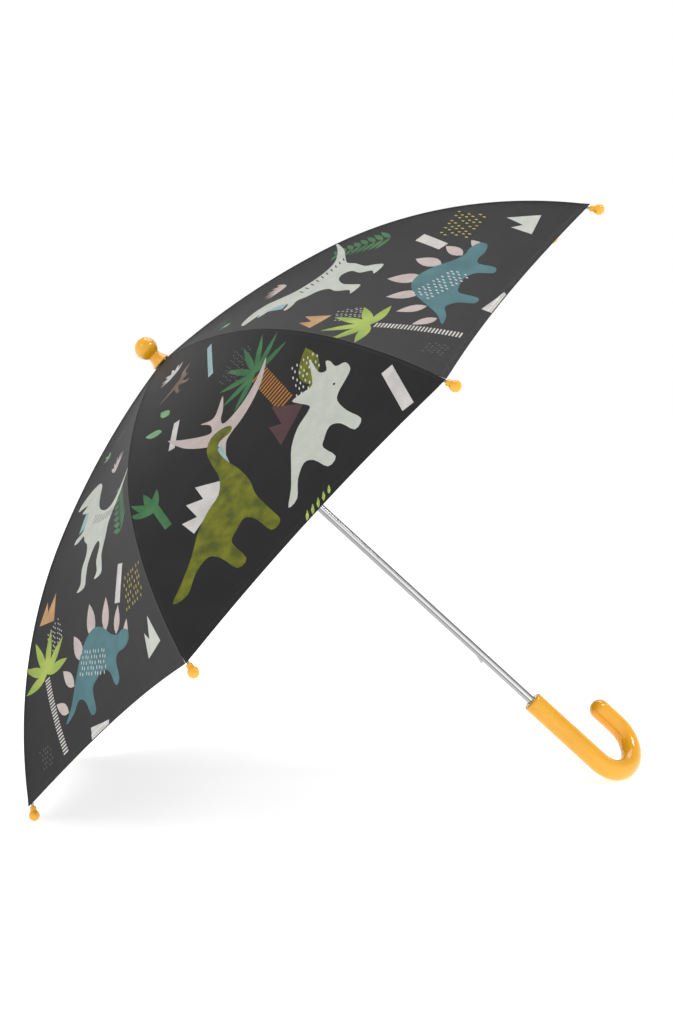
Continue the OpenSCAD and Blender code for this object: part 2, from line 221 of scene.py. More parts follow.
def noise_at(tree, scale, detail=3.0, vector=None, roughness=0.5):
    inputs = {"Scale": scale, "Detail": detail, "Roughness": roughness}
    if vector is None:
        vector = add_node(tree, "ShaderNodeTexCoord").outputs["Object"]
    inputs["Vector"] = vector
    return add_node(tree, "ShaderNodeTexNoise", inputs).outputs["Fac"]


def ramp(tree, factor, stops):
    node = add_node(tree, "ShaderNodeValToRGB", {"Fac": factor})
    node.color_ramp.elements[0].position, node.color_ramp.elements[0].color = stops[0][0], rgba(stops[0][1])
    node.color_ramp.elements[1].position, node.color_ramp.elements[1].color = stops[-1][0], rgba(stops[-1][1])
    for position, colour in stops[1:-1]:
        node.color_ramp.elements.new(position).color = rgba(colour)
    return node.outputs["Color"]


def maths(tree, operation, a, b=0.0):
    return add_node(tree, "ShaderNodeMath", {0: a, 1: b}, operation=operation).outputs[0]


def bump(tree, shader, height, strength, distance):
    node = add_node(tree, "ShaderNodeBump", {"Height": height, "Strength": strength, "Distance": distance})
    tree.links.new(node.outputs["Normal"], shader.inputs["Normal"])


def shade(colour, share):
    return tuple(min(1.0, c * share) for c in colour)


WEAVE_PITCH = 0.0006
STITCH = 0.0028


def near(tree, value, centre, reach):
    """1 where the value is within reach of the centre, and 0 elsewhere."""
    node = add_node(tree, "ShaderNodeMath", {0: value, 1: centre, 2: reach}, operation="COMPARE")
    return node.outputs[0]


def dashes(tree, along):
    share = maths(tree, "FRACT", maths(tree, "DIVIDE", along, STITCH))
    return maths(tree, "LESS_THAN", share, 0.62)


def cloth_surface():
    """The fabric's weave, wrinkles and two rows of stitches, shared by every ink."""
    group = bpy.data.node_groups.new("cloth_surface", "ShaderNodeTree")
    group.interface.new_socket("Tint", in_out="OUTPUT", socket_type="NodeSocketFloat")
    group.interface.new_socket("Height", in_out="OUTPUT", socket_type="NodeSocketFloat")
    group.interface.new_socket("Flat", in_out="OUTPUT", socket_type="NodeSocketVector")
    flat = add_node(group, "ShaderNodeUVMap", uv_map="flat").outputs["UV"]
    edge = add_node(group, "ShaderNodeUVMap", uv_map="edge").outputs["UV"]
    place_of = add_node(group, "ShaderNodeSeparateXYZ", {"Vector": flat})
    away = add_node(group, "ShaderNodeSeparateXYZ", {"Vector": edge})
    x, y = place_of.outputs["X"], place_of.outputs["Y"]
    turn = math.tau / WEAVE_PITCH
    warp = maths(group, "SINE", maths(group, "MULTIPLY", x, turn))
    weft = maths(group, "SINE", maths(group, "MULTIPLY", y, turn))
    threads = maths(group, "MULTIPLY", warp, weft)
    fleck = noise_at(group, 1400.0, 2.0, flat)
    by_seam = maths(group, "MULTIPLY", near(group, away.outputs["X"], 0.0021, 0.0003), dashes(group, y))
    by_hem = maths(group, "MULTIPLY", near(group, away.outputs["Y"], 0.0046, 0.0003), dashes(group, x))
    stitch = maths(group, "MAXIMUM", by_seam, by_hem)
    long_way = add_node(
        group, "ShaderNodeMapping", {"Vector": flat, "Scale": (1.0, 0.22, 1.0)}).outputs[0]
    ruffle = noise_at(group, 75.0, 3.0, long_way)
    tint = maths(group, "ADD", maths(group, "MULTIPLY", threads, 0.1),
                 maths(group, "MULTIPLY", fleck, 0.9))
    tint = maths(group, "ADD", maths(group, "ADD", tint, 0.55), maths(group, "MULTIPLY", stitch, 0.9))
    height = maths(group, "ADD", maths(group, "MULTIPLY", threads, 0.2),
                   maths(group, "MULTIPLY", fleck, 0.35))
    height = maths(group, "ADD", height, maths(group, "MULTIPLY", ruffle, 1.3))
    height = maths(group, "ADD", height, maths(group, "MULTIPLY", stitch, 0.8))
    out = group.nodes.new("NodeGroupOutput")
    group.links.new(tint, out.inputs["Tint"])
    group.links.new(height, out.inputs["Height"])
    group.links.new(flat, out.inputs["Flat"])
    return group


SURFACE = cloth_surface()


def cloth(name, colour, other=None, rough=0.6, mottle=60.0):
    """Printed pongee: a fine weave under ink that varies a little from place to place."""
    material, tree, shader = new_material(name)
    surface = tree.nodes.new("ShaderNodeGroup")
    surface.node_tree = SURFACE
    blotch = noise_at(tree, mottle, 4.0, surface.outputs["Flat"])
    dark, light = (shade(colour, 0.9), shade(colour, 1.08)) if other is None else (other, colour)
    ink = ramp(tree, blotch, [(0.36, dark), (0.64, light)])
    tinted = add_node(
        tree, "ShaderNodeVectorMath", {0: ink, 1: surface.outputs["Tint"]}, operation="MULTIPLY")
    tree.links.new(tinted.outputs[0], shader.inputs["Base Color"])
    bump(tree, shader, surface.outputs["Height"], 0.3, 0.0006)
    shader.inputs["Roughness"].default_value = rough
    shader.inputs["Specular IOR Level"].default_value = 0.25
    shader.inputs["Sheen Weight"].default_value = 0.03
    shader.inputs["Sheen Roughness"].default_value = 0.5
    return material


def plastic(name, colour):
    """Glossy moulded plastic with a faint ripple, fine scuffs and a slight unevenness of colour."""
    material, tree, shader = new_material(name)
    blotch = noise_at(tree, 25.0, 3.0)
    tint = ramp(tree, blotch, [(0.3, shade(colour, 0.94)), (0.7, shade(colour, 1.04))])
    tree.links.new(tint, shader.inputs["Base Color"])
    scuff = noise_at(tree, 90.0, 3.0)
    tree.links.new(ramp(tree, scuff, [(0.45, (0.13,) * 3), (0.75, (0.2,) * 3)]), shader.inputs["Roughness"])
    bump(tree, shader, noise_at(tree, 45.0, 2.0), 0.05, 0.0005)
    shader.inputs["IOR"].default_value = 1.49
    shader.inputs["Coat Weight"].default_value = 0.6
    shader.inputs["Coat Roughness"].default_value = 0.05
    return material


def metal(name, colour, rough, streak=0.0, along=(1, 1, 1)):
    """Plated steel: brushed along one way where streak is above 0, with dull patches."""
    material, tree, shader = new_material(name)
    shader.inputs["Metallic"].default_value = 1.0
    place_of = add_node(tree, "ShaderNodeTexCoord").outputs["Object"]
    stretched = add_node(tree, "ShaderNodeMapping", {"Vector": place_of, "Scale": along}).outputs[0]
    lines = noise_at(tree, 400.0, 3.0, stretched)
    patch = noise_at(tree, 18.0, 4.0)
    tint = ramp(tree, patch, [(0.3, shade(colour, 0.9)), (0.7, colour)])
    tree.links.new(tint, shader.inputs["Base Color"])
    spread = maths(tree, "MULTIPLY_ADD", patch, 0.16)
    spread.node.inputs[2].default_value = rough
    tree.links.new(spread, shader.inputs["Roughness"])
    bump(tree, shader, lines, 0.06 + streak, 0.0002)
    return material


def painted_reflection_tube(name):
    """Drawn tube with painted reflections: its base colour is painted in grey bands by which way the surface
    faces, standing in for the dark edges of the studio that the bright tube mirrors.
    """
    material, tree, shader = new_material(name)
    normal = add_node(tree, "ShaderNodeNewGeometry").outputs["Normal"]
    side = add_node(
        tree, "ShaderNodeVectorMath", {0: normal, 1: floor_side}, operation="DOT_PRODUCT").outputs["Value"]
    spread = maths(tree, "MULTIPLY_ADD", side, 0.5)
    spread.node.inputs[2].default_value = 0.5
    # painted reflection: the greys of the base colour follow how far the surface faces the floor side, not
    # the steel's own colour
    greys = ((0.0, 0.24), (0.1, 0.25), (0.2, 0.72), (0.5, 0.85), (0.56, 0.22), (0.66, 0.3), (0.76, 0.55),
             (1.0, 0.42))
    stops = [(position, (grey,) * 3) for position, grey in greys]
    tree.links.new(ramp(tree, spread, stops), shader.inputs["Base Color"])
    scuff = noise_at(tree, 120.0, 5.0)
    tree.links.new(ramp(tree, scuff, [(0.4, (0.14,) * 3), (0.8, (0.24,) * 3)]), shader.inputs["Roughness"])
    shader.inputs["Metallic"].default_value = 0.9
    return material


INK = {
    "ground": cloth("cloth_charcoal", (0.0165, 0.0155, 0.0158), (0.0135, 0.0125, 0.013), mottle=30),
    "pale": cloth("print_pale_sage", (0.58, 0.6, 0.54), (0.53, 0.55, 0.49), mottle=90),
    "white": cloth("print_white", (0.62, 0.6, 0.58)),
    "blush": cloth("print_blush", (0.58, 0.49, 0.465), (0.5, 0.42, 0.4)),
    "teal": cloth("print_teal", (0.075, 0.2, 0.22), (0.055, 0.155, 0.175), mottle=45),
    "mist": cloth("print_mist", (0.36, 0.52, 0.52), (0.26, 0.42, 0.43)),
    "olive": cloth("print_olive", (0.185, 0.2, 0.012), (0.085, 0.1, 0.012), mottle=80),
    "lime": cloth("print_lime", (0.42, 0.52, 0.1), (0.27, 0.38, 0.06), mottle=40),
    "green": cloth("print_green", (0.06, 0.2, 0.075), (0.035, 0.13, 0.05), mottle=50),
    "mint": cloth("print_mint", (0.2, 0.4, 0.2)),
    "tan": cloth("print_tan", (0.58, 0.34, 0.15), (0.48, 0.26, 0.1)),
    "amber": cloth("print_amber", (0.42, 0.17, 0.03)),
    "maroon": cloth("print_maroon", (0.09, 0.045, 0.05)),
    "yellow": cloth("print_yellow", (0.55, 0.47, 0.06)),
    "brown": cloth("print_brown", (0.27, 0.2, 0.145), (0.17, 0.11, 0.075), mottle=35),
    "grey": cloth("print_grey", (0.1, 0.11, 0.115)),
    "inside": cloth("cloth_inside", (0.02, 0.0195, 0.021), rough=0.75),
}
INK_NAMES = list(INK)

# ---------------------------------------------------------------- the print: outlines in tenths


def smooth(points, steps=3):
    """A closed curve through the points."""
    n, made = len(points), []
    for i in range(n):
        a, b, c, d = (points[(i + j) % n] for j in (-1, 0, 1, 2))
        for step in range(steps):
            t = step / steps
            made.append(tuple(
                0.5 * (2 * q + (r - p) * t + (2 * p - 5 * q + 4 * r - o) * t * t
                       + (3 * q - p - 3 * r + o) * t ** 3)
                for p, q, r, o in zip(a, b, c, d)))
    return made


def leaf(length, width, lean=0.0):
    """A pointed leaf that grows from the origin along +y."""
    n = 6
    side = [(math.sin(math.pi * i / n) ** 0.8 * width / 2 * (1.15 - 0.5 * i / n), length * i / n)
            for i in range(1, n)]
    outline = [(0, 0)] + side + [(0, length)] + [(-x, y) for x, y in reversed(side)]
    return turned(outline, lean)


def turned(points, degrees, x=0.0, y=0.0, size=1.0, flip=False):
    c, s = math.cos(math.radians(degrees)), math.sin(math.radians(degrees))
    moved = [(-px if flip else px, py) for px, py in points]
    return [(x + size * (px * c - py * s), y + size * (px * s + py * c)) for px, py in moved]


def bar(length, width):
    return [(-width / 2, -length / 2), (width / 2, -length / 2),
            (width / 2, length / 2), (-width / 2, length / 2)]


def blob(width, height, n=8):
    return [(width / 2 * math.cos(math.tau * i / n), height / 2 * math.sin(math.tau * i / n))
            for i in range(n)]


LONG_NECK = smooth([
    (0, 20), (13, 27), (28, 36), (42, 47), (55, 53), (66, 56), (74, 66), (77, 80), (81, 94), (89, 101),
    (98, 99), (103, 93), (100, 89), (91, 91), (86, 85), (85, 72), (86, 58), (85, 44), (81, 32), (80, 16),
    (79, 4), (71, 4), (70, 18), (66, 26), (57, 24), (50, 20), (49, 4), (41, 4), (39, 18), (34, 26), (22, 24),
    (10, 17)])
PLATED = smooth([
    (0, 14), (12, 22), (24, 35), (36, 47), (48, 54), (60, 54), (71, 47), (80, 36), (88, 30), (96, 29),
    (103, 24), (101, 18), (92, 17), (84, 19), (78, 16), (76, 4), (69, 3), (67, 14), (60, 20), (49, 20),
    (41, 17), (38, 3), (31, 3), (29, 14), (22, 20), (11, 15)])
STRIDER = smooth([
    (104, 70), (92, 60), (79, 53), (66, 53), (54, 58), (44, 66), (38, 78), (34, 89), (25, 95), (13, 93),
    (3, 86), (1, 80), (9, 80), (16, 79), (10, 75), (16, 72), (23, 70), (25, 60), (22, 53), (14, 50), (13, 46),
    (20, 46), (27, 48), (31, 42), (38, 36), (40, 27), (36, 17), (37, 5), (32, 0), (44, 0), (45, 8), (46, 18),
    (53, 28), (60, 30), (64, 24), (61, 14), (64, 5), (60, 0), (72, 0), (72, 8), (70, 16), (74, 28), (76, 38),
    (84, 46), (95, 56)])
HORNED = smooth([
    (0, 10), (12, 19), (24, 31), (36, 43), (50, 50), (62, 51), (68, 53), (66, 62), (64, 72), (73, 68),
    (81, 64), (87, 70), (95, 82), (96, 80), (92, 66), (96, 60), (101, 66), (103, 62), (102, 54), (108, 48),
    (106, 40), (97, 38), (88, 37), (82, 33), (80, 20), (81, 5), (72, 4), (70, 18), (64, 25), (54, 22),
    (49, 18), (49, 4), (40, 4), (38, 18), (32, 24), (20, 19), (9, 9)])
GLIDER = smooth([
    (0, 76), (12, 66), (26, 56), (38, 49), (43, 49), (42, 58), (33, 67), (43, 63), (49, 66), (57, 82),
    (56, 66), (53, 57), (54, 49), (63, 50), (78, 58), (92, 70), (104, 84), (96, 64), (84, 50), (72, 40),
    (60, 33), (54, 26), (51, 8), (48, 26), (40, 33), (28, 41), (14, 54)])
RUNNER = smooth([
    (0, 38), (16, 41), (32, 42), (46, 46), (58, 46), (66, 52), (74, 60), (84, 60), (93, 55), (84, 52),
    (77, 50), (74, 42), (70, 36), (72, 28), (66, 30), (60, 32), (56, 24), (58, 12), (62, 4), (54, 6),
    (50, 18), (46, 28), (40, 20), (34, 10), (38, 4), (28, 6), (32, 20), (34, 32), (18, 36)])


class Print:
    """The shapes printed on a panel, in metres: x across it, y down from the apex. Later ones lie on top."""

    def __init__(self):
        self.shapes = []

    def add(self, ink, outline, x=0.0, y=0.0, size=1.0, turn=0.0, flip=False):
        """size is in millimetres per unit of the outline; the outline's up is towards the apex."""
        placed = turned(outline, turn, size=size / 1000, flip=flip)
        self.shapes.append((ink, [(x / 1000 + px, y / 1000 - py) for px, py in placed]))

    def fan(self, ink, x, y, size, leaves, spread, width=0.28, turn=0.0):
        """Leaves that spread out from one point."""
        for i in range(leaves):
            share = i / (leaves - 1) - 0.5
            self.add(ink, leaf(1 - 0.35 * abs(share), width), x, y, size, turn + spread * share)

    def trunk(self, ink, x, y, length, width, turn, count):
        """A palm's trunk as a ladder of short strokes, which starts at x, y."""
        for i in range(count):
            along = length * (i + 0.5) / count
            dx = -math.sin(math.radians(turn)) * along
            dy = math.cos(math.radians(turn)) * along
            self.add(ink, bar(length / count * 0.5, width), x + dx, y - dy, 1.0, turn)

    def dots(self, ink, x, y, columns, rows, gap, width, height, turn=0.0):
        """Rows of small drops, every second row shifted."""
        c, s = math.cos(math.radians(turn)), math.sin(math.radians(turn))
        for row in range(rows):
            for column in range(columns):
                px = (column - columns / 2 + 0.5 * (row % 2)) * gap
                py = (row - rows / 2) * gap * 0.9
                wobble = 0.18 * gap * math.sin(7.3 * row + 4.1 * column)
                self.add(ink, blob(width, height, 6),
                         x + px * c - py * s + wobble, y - px * s - py * c, 1.0, turn)

    def sprig(self, ink, x, y, size, pairs, turn):
        """A stem with pairs of leaflets."""
        c, s = math.cos(math.radians(turn)), math.sin(math.radians(turn))
        for i in range(pairs):
            along = size * (i + 0.5) / pairs
            for side in (-1, 1):
                self.add(ink, leaf(0.32 - 0.02 * i, 0.09),
                         x - s * along, y - c * along, size, turn + side * 48)


def layout_a():
    """Plated and striding dinosaurs with a lime palm."""
    art = Print()
    art.dots("grey", -4, 88, 6, 4, 3.2, 1.4, 2.4, 20)
    art.fan("mint", -16, 112, 13, 3, 70, 0.3, 60)
    art.fan("blush", 24, 160, 27, 6, 75, 0.16, 10)
    art.sprig("green", 72, 262, 62, 8, 14)
    art.add("mist", smooth([(0, 0), (10, 22), (15, 12), (22, 30), (27, 10), (30, 0)], 1), -36, 197, 1.1, 10)
    art.add("pale", STRIDER, -66, 262, 1.28, -8)
    for i in range(12):
        art.add("ground", bar(9 - 0.3 * i, 1.2), -4 + 5.4 * i, 198 + 3.4 * i - 0.12 * i * i, 1.0, -32 - 2 * i)
    art.add("tan", [(0, 0), (7, 20), (11, 10), (19, 26), (24, 0)], -94, 268, 1.1, -14)
    art.dots("white", -66, 288, 5, 6, 4.6, 1.2, 2.8, 25)
    art.add("white", bar(34, 11), 62, 306, 1.0, -24)
    art.dots("yellow", 92, 322, 6, 6, 6.2, 1.5, 3.6, -6)
    art.fan("lime", -84, 322, 44, 6, 190, 0.24, 4)
    art.trunk("white", -84, 326, -78, 8, 6, 26)
    for i, (x, y, size, turn) in enumerate([
            (-58, 356, 20, 48), (-42, 338, 23, 34), (-22, 322, 27, 20), (2, 312, 31, 4), (26, 318, 27, -14),
            (44, 330, 22, -28), (56, 344, 18, -36)]):
        art.add("blush", leaf(1.0, 0.5), x, y + 16, size * 1.15, turn)
    art.add("teal", PLATED, -64, 398, 1.3, 6)
    art.dots("white", -2, 347, 9, 5, 5.4, 1.5, 3.8, -24)
    art.add("white", bar(32, 13), -16, 409, 1.0, 78)
    art.add("pale", [(0, 0), (6, 20), (11, 11), (19, 28), (27, 0)], 90, 392, 1.05, 6)
    art.dots("grey", -104, 392, 4, 5, 4.4, 1.2, 2.6, 0)
    return art.shapes


def layout_b():
    """Long-necked and horned dinosaurs, a flying reptile and a green palm."""
    art = Print()
    art.fan("white", 2, 92, 21, 6, 130, 0.24, 8)
    art.add("brown", RUNNER, -20, 148, 0.52, 14)
    art.add("mist", bar(56, 6), 34, 152, 1.0, -18)
    art.dots("grey", 46, 206, 7, 6, 5.2, 1.6, 2.6, 30)
    art.add("mint", leaf(22, 11), -38, 186, 1.0, 38)
    art.add("mint", leaf(20, 10), -24, 168, 1.0, 12)
    art.add("white", bar(38, 6.5), -32, 210, 1.0, -30)
    art.fan("green", 52, 246, 46, 8, 215, 0.16, 4)
    art.trunk("amber", 54, 250, -58, 17, -3, 15)
    art.fan("green", -86, 280, 32, 4, 80, 0.26, 8)
    art.add("green", bar(34, 7), -84, 290, 1.0, -4)
    art.add("blush", GLIDER, -70, 286, 1.08, -22)
    art.add("maroon", [(0, 0), (12, 24), (18, 12), (30, 34), (40, 0)], 24, 336, 0.95, 18)
    art.add("olive", leaf(40, 24), 76, 318, 1.0, -28)
    art.add("olive", bar(18, 5), 73, 323, 1.0, -28)
    art.dots("white", 82, 303, 5, 7, 5.6, 1.5, 3.4, -28)
    art.add("mist", bar(44, 8.5), -18, 300, 1.0, -12)
    art.add("white", [(0, 0), (3, 17), (13, 8), (18, 26), (28, 14), (34, 30), (46, 10), (48, 0)],
            -74, 334, 1.05, 16)
    art.add("olive", LONG_NECK, -122, 400, 1.32, 3, False)
    art.add("pale", HORNED, -6, 398, 1.1, 6)
    art.add("ground", blob(2.4, 2.4, 8), 88, 338, 1.0)
    art.add("white", bar(40, 11), 118, 392, 1.0, -16)
    art.sprig("lime", -8, 411, 34, 5, -84)
    return art.shapes


LAYOUTS = (layout_a, layout_b)

# ---------------------------------------------------------------- the fabric

ROW = 0.008
COLUMNS = 26
CLOTH_FROM = CLOTH_HOLE - RIB_START[0]


def inside_panel(point, margin=0.0009):
    """The point, kept inside the panel by a small margin from its seams and hem."""
    x, y = point
    y = min(max(y, CLOTH_FROM + margin), INNER_RIB + OUTER_RIB - HEM_CORNER - margin)
    width = half_width(y)
    x = min(max(x, -width + margin), width - margin)
    return (x, min(y, hem_s(x / width) - margin))


def area_of(outline):
    return sum(a[0] * b[1] - b[0] * a[1] for a, b in zip(outline, outline[1:] + outline[:1])) / 2


def turning_left(outline):
    """The outline, in the order that keeps its inside on the left."""
    return outline if area_of(outline) > 0 else outline[::-1]


def flat_mesh(shapes):
    """The flat panel, cut into triangles along every outline: its points, triangles and their inks."""
    end = hem_s(1)
    n = round((end - CLOTH_FROM) / ROW)
    rows = [CLOTH_FROM + (end - CLOTH_FROM) * i / n for i in range(n + 1)]
    vees = sorted({-1 + 2 * i / COLUMNS for i in range(COLUMNS + 1)})
    points, edges = [], []

    def lay(chain, closed=False):
        first = len(points)
        points.extend(chain)
        edges.extend((first + i, first + i + 1) for i in range(len(chain) - 1))
        if closed:
            edges.append((first + len(chain) - 1, first))
        return list(range(first, first + len(chain)))

    def down(v):
        share = (hem_s(v) - CLOTH_FROM) / (end - CLOTH_FROM)
        return [CLOTH_FROM + (y - CLOTH_FROM) * share for y in rows]

    left = [(-half_width(y), y) for y in down(-1)]
    hem = [(v * half_width(hem_s(v)), hem_s(v)) for v in vees[1:-1]]
    right = [(half_width(y), y) for y in reversed(down(1))]
    top = [(v * half_width(CLOTH_FROM), CLOTH_FROM) for v in (0.5, -0.5)]
    border = lay(turning_left(left + hem + right + top), closed=True)
    for v in vees[1:-1]:
        lay([(v * half_width(y), y) for y in down(v)[1:-1]])
    for back in (SEAM_WIDTH * 0.5, SEAM_WIDTH):
        for side in (-1, 1):
            lay([(side * (half_width(y) - back), y) for y in down(1)[2:-1]])
    for back in (HEM_WIDTH - 0.0008, HEM_WIDTH, HEM_WIDTH + 0.002):
        lay([(v * half_width(hem_s(v) - back), hem_s(v) - back) for v in vees[1:-1]])
    knee = half_width(INNER_RIB)
    lay([(v * knee, INNER_RIB) for v in vees])
    faces = [border]
    inks = ["ground"]
    for ink, outline in shapes:
        fitted = [inside_panel(p) for p in outline]
        if abs(area_of(fitted)) > 0.35 * abs(area_of(outline)):
            faces.append(lay(turning_left(fitted), closed=True))
            inks.append(ink)
    found = delaunay_2d_cdt([Vector(p) for p in points], edges, faces, 0, 1e-6)
    flat = [tuple(p) for p in found[0]]
    covered = [0.0] * len(faces)
    for triangle, owners in zip(found[2], found[5]):
        for owner in owners:
            covered[owner] += abs(area_of([flat[i] for i in triangle]))
    sound = {i for i, face in enumerate(faces)
             if covered[i] < 1.2 * abs(area_of([points[j] for j in face])) + 1e-7}
    kept = [(tuple(t), inks[max(sound & set(o))]) for t, o in zip(found[2], found[5]) if 0 in o]
    return flat, kept


class Cloth:
    """A piece of cloth with an outer and an inner side, gathered from triangles of a surface."""

    def __init__(self, name):
        self.name = name
        self.points, self.normals, self.seen = [], [], {}
        self.faces, self.flats, self.edges, self.inks = [], [], [], []

    def corner(self, spot, normal):
        key = tuple(round(c, 5) for c in spot)
        if key not in self.seen:
            self.seen[key] = len(self.points)
            self.points.append(spot)
            self.normals.append(normal.copy())
        else:
            self.normals[self.seen[key]] += normal
        return self.seen[key]

    def take(self, corners, flats, edges, ink):
        if len(set(corners)) == 3:
            self.faces.append(tuple(corners))
            self.flats.append(flats)
            self.edges.append(edges)
            self.inks.append(INK_NAMES.index(ink))

    def build(self, thickness=CLOTH_T):
        """Makes the mesh: the outer side, the inner side below it, and a rim that closes the two."""
        n = len(self.points)
        normals = [v.normalized() for v in self.normals]
        points = self.points + [p - v * thickness for p, v in zip(self.points, normals)]
        inner = [tuple(c + n for c in reversed(f)) for f in self.faces]
        uses = {}
        for face in self.faces:
            for a, b in zip(face, face[1:] + face[:1]):
                uses[(a, b)] = True
        rim = [(b, a, a + n, b + n) for a, b in uses if (b, a) not in uses]
        mesh = bpy.data.meshes.new(self.name)
        mesh.from_pydata(points, [], self.faces + inner + rim)
        for ink in INK_NAMES:
            mesh.materials.append(INK[ink])
        back = INK_NAMES.index("inside")
        mesh.polygons.foreach_set("material_index", self.inks + [back] * len(inner) + [0] * len(rim))
        for name, values in (("flat", self.flats), ("edge", self.edges)):
            layer = mesh.uv_layers.new(name=name)
            rows = values + [v[::-1] for v in values] + [[(0.0, 0.0)] * 4] * len(rim)
            layer.data.foreach_set("uv", [c for row in rows for uv in row for c in uv])
        mesh.shade_smooth()
        outward = [tuple(v) for v in normals]
        mesh.normals_split_custom_set_from_vertices(outward + [tuple(-v) for v in normals])
        piece = bpy.data.objects.new(self.name, mesh)
        bpy.context.scene.collection.objects.link(piece)
        return piece


def panel_corner(k, flat):
    """Place, normal and distances from seam and hem of a point of panel k."""
    x, s = flat
    width = half_width(s)
    v = max(-1.0, min(1.0, x / width))
    return panel_point(k, s, v), panel_normal(k, s, v), (width - abs(x), hem_s(v) - s)


def add_panel(k, flat, triangles, inner, outer):
    """Shares the triangles of panel k out between the four pieces that meet in its middle."""
    corners = {}
    for triangle, ink in triangles:
        x = sum(flat[i][0] for i in triangle) / 3
        s = sum(flat[i][1] for i in triangle) / 3
        part = (inner if s < INNER_RIB else outer)[(k if x < 0 else k % RIBS + 1) - 1]
        picked = triangle[::-1]
        for i in picked:
            if i not in corners:
                corners[i] = panel_corner(k, flat[i])
        part.take([part.corner(*corners[i][:2]) for i in picked],
                  [(flat[i][0] + 0.6 * k, flat[i][1]) for i in picked],
                  [corners[i][2] for i in picked], ink)


def flat_area(start, end, n=40):
    """Area of one rib's share of the flat fabric between two lengths along the rib."""
    steps = [start + (end - start) * (i + 0.5) / n for i in range(n)]
    return sum(2 * half_width(s) for s in steps) * (end - start) / n


def add_canopy():
    inner = [Cloth(f"canopy_inner_{k}") for k in range(1, RIBS + 1)]
    outer = [Cloth(f"canopy_outer_{k}") for k in range(1, RIBS + 1)]
    meshes = [flat_mesh(layout()) for layout in LAYOUTS]
    for k in range(1, RIBS + 1):
        flat, triangles = meshes[(k + 1) % 2]
        add_panel(k, flat, triangles, inner, outer)
    hem = INNER_RIB + OUTER_RIB - HEM_CORNER
    shares = ((inner, "rib_arm", CLOTH_FROM, INNER_RIB),
              (outer, "tip_arm", INNER_RIB, hem - HEM_RISE * 0.66))
    made = []
    for parts, body, start, end in shares:
        cut = (2 * half_width(end), end - start)
        area = flat_area(start, end)
        for k, part in enumerate(parts, 1):
            piece = part.build()
            fold_of(k)
            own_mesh(piece)
            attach(piece, f"{body}_{k}")
            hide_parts(f"canopy_gore_{k}")
            made.append(piece)
    return made


canopy = add_canopy()

# ---------------------------------------------------------------- the tie strap

STRAP_RIB = 6
STRAP_W = 0.014
STRAP_LEN = 0.150
STRAP_IN = 0.0035           # from the seam to the strap's edge
STRAP_UP = 0.011            # from the corner of the fabric to the strap's end
STRAP_LIFT = 0.0016         # from the panel to the strap's outer side


def strap_spot(s, x, rise=0.0):
    v = x / half_width(s) - 1
    fold = 0.0004 * (1 - min(1.0, min(x - STRAP_IN, STRAP_IN + STRAP_W - x) / 0.0012) ** 2)
    return panel_point(STRAP_RIB, s, v, STRAP_LIFT + rise - fold)


def add_strap():
    """The strap lies along the seam, from the middle of the rib down to its free end near the hem."""
    strap = Cloth("tie_strap_cloth")
    end = INNER_RIB + OUTER_RIB - HEM_CORNER - STRAP_UP
    rows, columns = 60, 14
    grid = [[(end - STRAP_LEN * (1 - i / rows), STRAP_IN + STRAP_W * j / columns)
             for j in range(columns + 1)] for i in range(rows + 1)]

    def corner(i, j):
        s, x = grid[i][j]
        low, high = max(STRAP_IN, x - 0.0004), min(STRAP_IN + STRAP_W, x + 0.0004)
        down = strap_spot(s + 0.001, x) - strap_spot(s - 0.001, x)
        normal = down.cross(strap_spot(s, high) - strap_spot(s, low)).normalized()
        return strap.corner(strap_spot(s, x), normal)

    for i in range(rows):
        for j in range(columns):
            for picked in (((i, j), (i + 1, j), (i + 1, j + 1)), ((i, j), (i + 1, j + 1), (i, j + 1))):
                spots = [grid[a][b] for a, b in picked]
                edges = [(min(x - STRAP_IN, STRAP_IN + STRAP_W - x), end - s + 0.002) for s, x in spots]
                strap.take([corner(a, b) for a, b in picked],
                           [(x, s) for s, x in spots], edges, "ground")
    piece = strap.build(0.001)
    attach(piece, f"tip_arm_{STRAP_RIB}")
    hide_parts("tie_strap")


add_strap()

# ---------------------------------------------------------------- finishes of the CAD pieces

orange = plastic("orange_plastic", (0.98, 0.455, 0.012))
tube = painted_reflection_tube("tube_painted_reflections")
plated = metal("zinc_plated_steel", (0.62, 0.63, 0.65), 0.3, 0.1)
black = plastic("black_plastic", (0.02, 0.02, 0.022))
rod = plastic("glass_fibre", (0.62, 0.62, 0.6))


def finish_of(node):
    if node in ("handle", "finial", "crown", "runner") or node.startswith("tip_"):
        return orange
    if "washer" in node:
        return black
    if node.startswith("outer_rib"):
        return rod
    if node == "shaft":
        # the shaft's base colour holds painted reflections in grey bands
        return tube
    return plated


for node, shown in frame["nodes"].items():
    if node.startswith("canopy") or node == "tie_strap":
        continue
    shown.data.materials.clear()
    shown.data.materials.append(finish_of(node))

# ---------------------------------------------------------------- smooth mouldings

GRIP_R = 0.010
COLLAR = -0.473
GRIP_LEN = 0.0865
HOOK_R = 0.0295
HOOK_ARM = 0.022
HOOK_TURN = math.radians(231)
FOOT_R = 0.0093
STEM_R = 0.0061
BALL_R = 0.0108
BALL_Z = 0.0204
TIP_R = 0.0048
NECK_R = 0.0028
NECK_LEN = 0.0079


